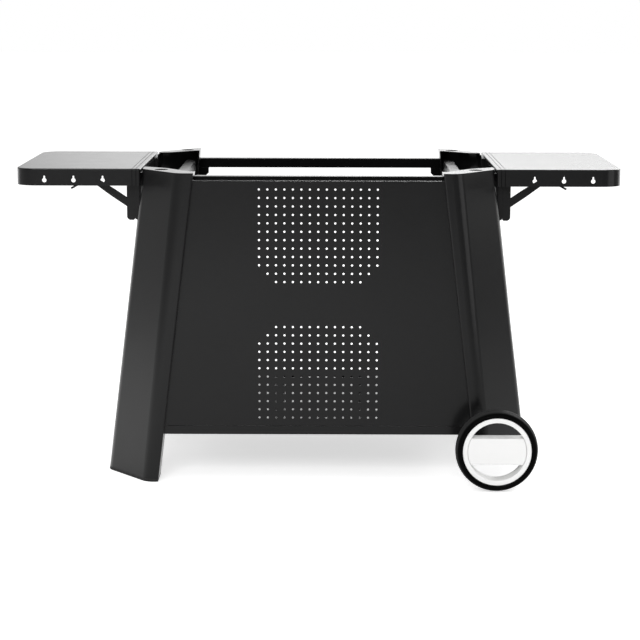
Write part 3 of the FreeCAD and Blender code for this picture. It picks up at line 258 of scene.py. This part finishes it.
FINISH = {
    "side_table": coat_with_painted_groove_shade, "front_rail": coat_painted_in_shade, "rear_rail": coat_painted_in_shade, "rear_gussets": coat_painted_in_shade,
    "wheel_tyre": rubber, "wheel_hub": white_plastic, "hub_cover": white_plastic, "foot_glide": black_plastic,
    "axle": zinc, "axle_tube": powder_coat, "table_studs": zinc, "frame_screws": zinc,
}


def finish_of(name):
    """The material of the longest key that the node's name starts with; powder coat otherwise."""
    keys = [key for key in FINISH if name.startswith(key)]
    return FINISH[max(keys, key=len)] if keys else powder_coat


for name, node in nodes.items():
    for slot in node.material_slots:
        slot.material = finish_of(name)


def round_edges(node, width):
    """Rounds the sharp edges of a part made of flat walls."""
    weld = node.modifiers.new("weld", "WELD")
    weld.merge_threshold = WELD_WITHIN
    bevel = node.modifiers.new("bevel", "BEVEL")
    bevel.width = width
    bevel.segments = ROUND_SEGMENTS
    bevel.limit_method = "ANGLE"
    bevel.angle_limit = math.radians(SHARP_ANGLE)
    bevel.use_clamp_overlap = True
    bevel.harden_normals = True


for name, width in ROUNDED.items():
    round_edges(nodes[name], width)


def ray_kind(tree, *kinds):
    """1 for rays of the named kinds, 0 for the rest."""
    path = add(tree, "ShaderNodeLightPath")
    found = path.outputs[kinds[0]]
    for kind in kinds[1:]:
        found = calculate(tree, "MAXIMUM", found, path.outputs[kind])
    return found


def choose(tree, switch, off, on):
    """off where the switch is 0, on where it is 1; each is a socket or a number."""
    node = add(tree, "ShaderNodeMix", data_type="FLOAT")
    numbers = [socket for socket in node.inputs if socket.type == "VALUE"]
    for source, target in zip((switch, off, on), numbers):
        if isinstance(source, float):
            target.default_value = source
        else:
            link(tree, source, target)
    return next(socket for socket in node.outputs if socket.type == "VALUE")


def make_world():
    """White to the camera, and dimmer in reflections where the object's front looks."""
    world = bpy.data.worlds.new("studio")
    world.use_nodes = True
    tree = world.node_tree
    tree.nodes.clear()
    output = tree.nodes.new("ShaderNodeOutputWorld")
    background = add(tree, "ShaderNodeBackground", Color=WHITE)
    apart = add(tree, "ShaderNodeSeparateXYZ")
    link(tree, add(tree, "ShaderNodeTexCoord").outputs["Generated"], apart.inputs[0])
    ahead = ramp(tree, apart.outputs["X"], *FRONT_ACROSS, WORLD_FRONT_LEFT, WORLD_FRONT_RIGHT)
    behind = ramp(tree, apart.outputs["X"], *REAR_ACROSS, WORLD_REAR_LEFT, 1.0)
    reflected = choose(tree, ramp(tree, apart.outputs["Y"], *FRONT_TO_REAR, 0.0, 1.0), ahead, behind)
    lit = choose(tree, ray_kind(tree, "Is Glossy Ray"), WORLD_ON_SURFACES, reflected)
    seen = choose(tree, ray_kind(tree, "Is Camera Ray", "Is Transmission Ray"), lit, 1.0)
    link(tree, seen, background.inputs["Strength"])
    link(tree, background.outputs["Background"], output.inputs["Surface"])
    bpy.context.scene.world = world


def make_floor():
    """A pale floor with the object's shadow, white to the camera and lit round the object."""
    material, tree, output = node_tree("pale_floor")
    matt = add(tree, "ShaderNodeBsdfDiffuse")
    glow = add(tree, "ShaderNodeEmission", Color=WHITE)
    where = add(tree, "ShaderNodeTexCoord").outputs["Object"]
    distance = add(tree, "ShaderNodeVectorMath", operation="LENGTH")
    apart = add(tree, "ShaderNodeSeparateXYZ")
    link(tree, where, distance.inputs[0])
    link(tree, where, apart.inputs[0])
    glossy = ray_kind(tree, "Is Glossy Ray")
    aside = calculate(tree, "MULTIPLY", calculate(tree, "ABSOLUTE", apart.outputs["X"]), BEHIND_SLOPE)
    past = calculate(tree, "SUBTRACT", apart.outputs["Y"], aside)
    behind = ramp(tree, past, 0.0, WHITE_BEHIND, 0.0, 1.0)
    across = ramp(tree, apart.outputs["X"], *FLOOR_ACROSS, LEFT_SHARE, RIGHT_SHARE)
    share = choose(tree, behind, across, 1.0)
    dimmed = calculate(tree, "MULTIPLY", share, FLOOR_COLOUR)
    link(tree, choose(tree, glossy, FLOOR_COLOUR, dimmed), matt.inputs["Color"])
    ahead = ramp(tree, distance.outputs["Value"], *LIFT_FADES, FLOOR_LIFT, 0.0)
    faded = choose(tree, behind, ahead, FLOOR_LIFT)
    reflected = choose(tree, glossy, 0.0, calculate(tree, "MULTIPLY", share, faded))
    lift = choose(tree, ray_kind(tree, "Is Camera Ray", "Is Transmission Ray"), reflected, FLOOR_LIFT)
    link(tree, lift, glow.inputs["Strength"])
    both = add(tree, "ShaderNodeAddShader")
    link(tree, matt.outputs["BSDF"], both.inputs[0])
    link(tree, glow.outputs["Emission"], both.inputs[1])
    link(tree, both.outputs["Shader"], output.inputs["Surface"])
    half = FLOOR_SIZE / 2
    mesh = bpy.data.meshes.new("floor")
    corners = [(-half, -half, 0), (half, -half, 0), (half, half, 0), (-half, half, 0)]
    mesh.from_pydata(corners, [], [(0, 1, 2, 3)])
    mesh.materials.append(material)
    floor = bpy.data.objects.new("floor", mesh)
    floor.location.z = FLOOR_Z
    bpy.context.scene.collection.objects.link(floor)


def area_light(name, location, target, size, watts):
    """A rectangular soft box that faces its target."""
    data = bpy.data.lights.new(name, "AREA")
    data.shape = "RECTANGLE"
    data.size, data.size_y = size
    data.energy = watts
    light = bpy.data.objects.new(name, data)
    light.location = location
    light.rotation_euler = (Vector(target) - Vector(location)).to_track_quat("-Z", "Y").to_euler()
    bpy.context.scene.collection.objects.link(light)


def make_camera():
    """The scene's camera, from its place and its three angles."""
    data = bpy.data.cameras.new("camera")
    data.lens = LENS
    data.sensor_width = SENSOR
    data.clip_end = SEES_TO
    camera = bpy.data.objects.new("camera", data)
    turn = (
        Matrix.Rotation(math.radians(CAMERA_YAW), 4, "Z")
        @ Matrix.Rotation(math.radians(CAMERA_PITCH), 4, "X")
        @ Matrix.Rotation(math.radians(CAMERA_ROLL), 4, "Z"))
    camera.matrix_world = Matrix.Translation(CAMERA_AT) @ turn
    bpy.context.scene.collection.objects.link(camera)
    bpy.context.scene.camera = camera


make_world()
make_floor()
for name, location, target, size, watts in LAMPS:
    area_light(name, location, target, size, watts)
make_camera()
bpy.context.scene.view_settings.view_transform = "Standard"
